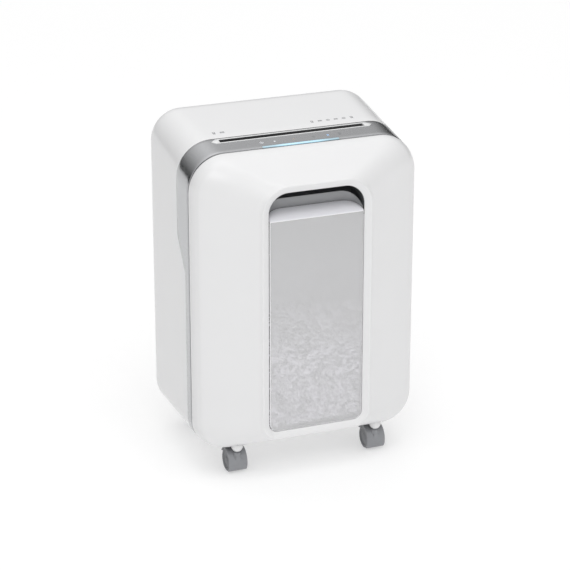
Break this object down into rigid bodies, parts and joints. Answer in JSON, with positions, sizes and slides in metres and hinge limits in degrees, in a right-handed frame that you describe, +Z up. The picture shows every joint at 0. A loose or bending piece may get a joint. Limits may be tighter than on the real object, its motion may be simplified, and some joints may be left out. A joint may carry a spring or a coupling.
{
  "type": "paper shredder",
  "caption": "Floor-standing paper shredder with a top slot, silver band and pull-out white bin front with a grey window, standing on twin-wheel casters.",
  "frame": {"origin": "centre of the bounding box at floor level, where the caster wheels stand", "axes": "+X to the right as seen by the user in front, -Y towards the user, +Z up"},
  "size_m": [0.36, 0.2654, 0.5305],
  "materials": {
    "white_shell": "satin white moulding",
    "silver_band": "satin silver",
    "entry_grey": "satin light grey",
    "dark_plastic": "matt dark grey",
    "black_plastic": "matt black",
    "light_guide": "clear, lit pale blue",
    "board_green": "solder mask",
    "plate_steel": "zinc plated",
    "cutter_steel": "hardened, oiled",
    "bush_brass": "sintered",
    "gear_steel": "machined",
    "gear_nylon": "natural nylon",
    "motor_steel": "satin grey",
    "cap_metal": "cast",
    "rotor_copper": "varnished windings",
    "signal_red": "moulded red",
    "magnet_grey": "plated",
    "window_smoke": "translucent grey",
    "scoop_lilac": "satin pale grey",
    "tub_grey": "moulded pale grey",
    "shred_paper": "micro-cut pieces",
    "caster_grey": "nylon grey",
    "wheel_grey": "soft tread grey"
  },
  "bodies": {
    "housing": {"rear_shell": "white_shell", "top_band": "silver_band", "entry_lip": "entry_grey", "paper_throat": "black_plastic", "light_bar": "light_guide", "touch_board": "board_green", "base_tray": "dark_plastic", "caster_sockets": "white_shell", "cutter_deck": "dark_plastic", "left_side_plate": "plate_steel", "right_side_plate": "plate_steel", "tie_rods": "plate_steel", "shaft_bushes": "bush_brass", "front_stripper": "dark_plastic", "rear_stripper": "dark_plastic", "gear_pins": "plate_steel", "gearbox_cover": "dark_plastic", "motor_case": "motor_steel", "motor_end_cap": "cap_metal", "motor_bushes": "bush_brass", "power_board": "board_green", "switch_bezel": "black_plastic", "cord_gland": "black_plastic", "left_rail": "dark_plastic", "right_rail": "dark_plastic", "sensor_bracket": "dark_plastic", "interlock_switch": "black_plastic", "rear_screws": "plate_steel", "deck_screws": "plate_steel"},
    "drawer": {"front_shell": "white_shell", "window_panel": "window_smoke", "handle_scoop": "scoop_lilac", "back_cover": "dark_plastic", "bin_tub": "tub_grey", "paper_shreds": "shred_paper", "drawer_screws": "plate_steel", "interlock_magnet": "magnet_grey"},
    "front_cutter": {"front_cutter_shaft": "plate_steel", "front_cutter_discs": "cutter_steel", "front_sync_gear": "gear_steel"},
    "rear_cutter": {"rear_cutter_shaft": "plate_steel", "rear_cutter_discs": "cutter_steel", "rear_sync_gear": "gear_steel", "drive_gear": "gear_steel"},
    "rotor": {"motor_rotor": "rotor_copper", "motor_pinion": "bush_brass", "cooling_fan": "black_plastic"},
    "first_gear": {"first_reduction_gear": "gear_nylon"},
    "second_gear": {"second_reduction_gear": "gear_nylon"},
    "power_rocker": {"rocker_switch": "black_plastic"},
    "paper_sensor": {"sensor_lever": "signal_red"},
    "front_left_swivel": {"front_left_caster": "caster_grey"},
    "front_left_roller": {"front_left_wheels": "wheel_grey"},
    "front_right_swivel": {"front_right_caster": "caster_grey"},
    "front_right_roller": {"front_right_wheels": "wheel_grey"},
    "rear_left_swivel": {"rear_left_caster": "caster_grey"},
    "rear_left_roller": {"rear_left_wheels": "wheel_grey"},
    "rear_right_swivel": {"rear_right_caster": "caster_grey"},
    "rear_right_roller": {"rear_right_wheels": "wheel_grey"}
  },
  "joints": [
    {"name": "drawer_slide", "type": "slide", "parent": "housing", "child": "drawer", "axis": [0, -1, 0], "range_m": [0, 0.15]},
    {"name": "rear_cutter_spin", "type": "hinge", "parent": "housing", "child": "rear_cutter", "pos_m": [0, -0.0077, 0.421], "axis": [1, 0, 0], "continuous": true},
    {"name": "front_cutter_spin", "type": "hinge", "parent": "housing", "child": "front_cutter", "pos_m": [0, -0.0477, 0.421], "axis": [1, 0, 0], "continuous": true},
    {"name": "second_gear_spin", "type": "hinge", "parent": "housing", "child": "second_gear", "pos_m": [-0.143, 0.0303, 0.39983], "axis": [1, 0, 0], "continuous": true},
    {"name": "first_gear_spin", "type": "hinge", "parent": "housing", "child": "first_gear", "pos_m": [-0.152, 0.02893, 0.43855], "axis": [1, 0, 0], "continuous": true},
    {"name": "motor_spin", "type": "hinge", "parent": "housing", "child": "rotor", "pos_m": [0, 0.0623, 0.428], "axis": [1, 0, 0], "continuous": true},
    {"name": "power_rock", "type": "hinge", "parent": "housing", "child": "power_rocker", "pos_m": [-0.118, 0.1243, 0.445], "axis": [1, 0, 0], "range_deg": [0, 14]},
    {"name": "sensor_swing", "type": "hinge", "parent": "housing", "child": "paper_sensor", "pos_m": [0, -0.0147, 0.489], "axis": [1, 0, 0], "range_deg": [0, 25], "stiffness_Nm_per_rad": 0.01},
    {"name": "front_left_turn", "type": "hinge", "parent": "housing", "child": "front_left_swivel", "pos_m": [-0.115, -0.0907, 0.044], "axis": [0, 0, 1], "continuous": true},
    {"name": "front_left_roll", "type": "hinge", "parent": "front_left_swivel", "child": "front_left_roller", "pos_m": [-0.115, -0.0767, 0.0175], "axis": [1, 0, 0], "continuous": true},
    {"name": "front_right_turn", "type": "hinge", "parent": "housing", "child": "front_right_swivel", "pos_m": [0.115, -0.0907, 0.044], "axis": [0, 0, 1], "continuous": true},
    {"name": "front_right_roll", "type": "hinge", "parent": "front_right_swivel", "child": "front_right_roller", "pos_m": [0.115, -0.0767, 0.0175], "axis": [1, 0, 0], "continuous": true},
    {"name": "rear_left_turn", "type": "hinge", "parent": "housing", "child": "rear_left_swivel", "pos_m": [-0.115, 0.0873, 0.044], "axis": [0, 0, 1], "continuous": true},
    {"name": "rear_left_roll", "type": "hinge", "parent": "rear_left_swivel", "child": "rear_left_roller", "pos_m": [-0.115, 0.1013, 0.0175], "axis": [1, 0, 0], "continuous": true},
    {"name": "rear_right_turn", "type": "hinge", "parent": "housing", "child": "rear_right_swivel", "pos_m": [0.115, 0.0873, 0.044], "axis": [0, 0, 1], "continuous": true},
    {"name": "rear_right_roll", "type": "hinge", "parent": "rear_right_swivel", "child": "rear_right_roller", "pos_m": [0.115, 0.1013, 0.0175], "axis": [1, 0, 0], "continuous": true}
  ],
  "couplings": [
    {"joint": "front_cutter_spin", "follows": "rear_cutter_spin", "ratio": -1},
    {"joint": "second_gear_spin", "follows": "rear_cutter_spin", "ratio": -3.1429},
    {"joint": "first_gear_spin", "follows": "rear_cutter_spin", "ratio": 10.776},
    {"joint": "motor_spin", "follows": "rear_cutter_spin", "ratio": -43.102}
  ]
}
